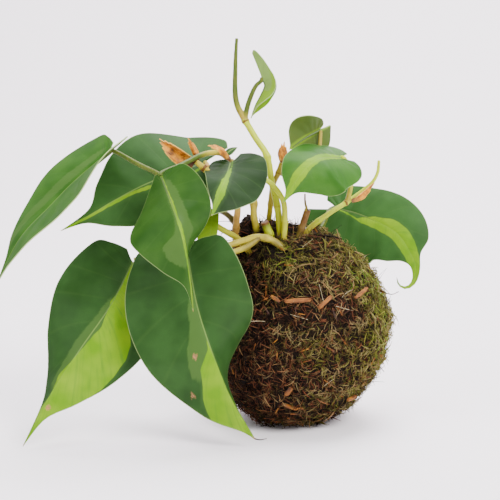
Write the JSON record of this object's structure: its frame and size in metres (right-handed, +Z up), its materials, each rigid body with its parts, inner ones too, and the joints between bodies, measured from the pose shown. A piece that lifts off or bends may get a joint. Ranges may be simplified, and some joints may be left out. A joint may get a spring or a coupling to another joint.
{
  "type": "moss ball house plant",
  "caption": "House plant with heart-shaped, lime-striped leaves on slender vining stems, growing out of a moss-wrapped ball of soil that rests on its flattened underside.",
  "frame": {"origin": "middle of the small flat spot under the ball that the plant rests on", "axes": "+Z up; -Y towards the side that most of the leaves face; +X to the right as seen from that side, and the longest leaves spread towards -X"},
  "size_m": [0.225, 0.114, 0.204],
  "materials": {
    "moss": "matte",
    "soil": "matte",
    "bark": "matte",
    "leaf_dark": "satin",
    "leaf_mid": "satin",
    "leaf_pale": "satin",
    "stem_green": "satin",
    "stem_beige": "satin",
    "stem_pink": "satin",
    "stem_olive": "satin",
    "stub_brown": "matte",
    "sheath": "matte"
  },
  "bodies": {
    "root": {"soil_ball": "soil", "moss_jacket": "moss", "bark_flake_1": "bark", "bark_flake_2": "bark", "bark_flake_3": "bark", "bark_flake_4": "bark", "bark_flake_5": "bark", "bark_flake_6": "bark", "bark_flake_7": "bark", "stem_main": "stem_green", "stem_centre": "stem_green", "stem_thin_beige": "stem_beige", "stem_right": "stem_green", "stalk_right": "stem_green", "stub_brown": "stub_brown", "stub_green": "stem_green", "stem_beige": "stem_beige", "stem_pink": "stem_pink", "stem_olive": "stem_olive", "stalk_far_left": "stem_green", "stem_low": "stem_green", "leaf_far_left": "leaf_mid", "leaf_back_left": "leaf_dark", "leaf_middle": "leaf_mid", "leaf_low_left": "leaf_dark", "leaf_low_front": "leaf_dark", "leaf_shoulder": "leaf_dark", "leaf_hidden": "leaf_pale", "leaf_right_upper": "leaf_mid", "leaf_top_back": "leaf_mid", "leaf_right": "leaf_dark", "leaf_young": "leaf_pale", "leaf_small_tip": "leaf_dark", "sheath_left": "sheath", "sheath_stalk": "sheath", "sheath_node": "sheath", "sheath_centre": "sheath", "sheath_right": "sheath"}
  },
  "joints": []
}
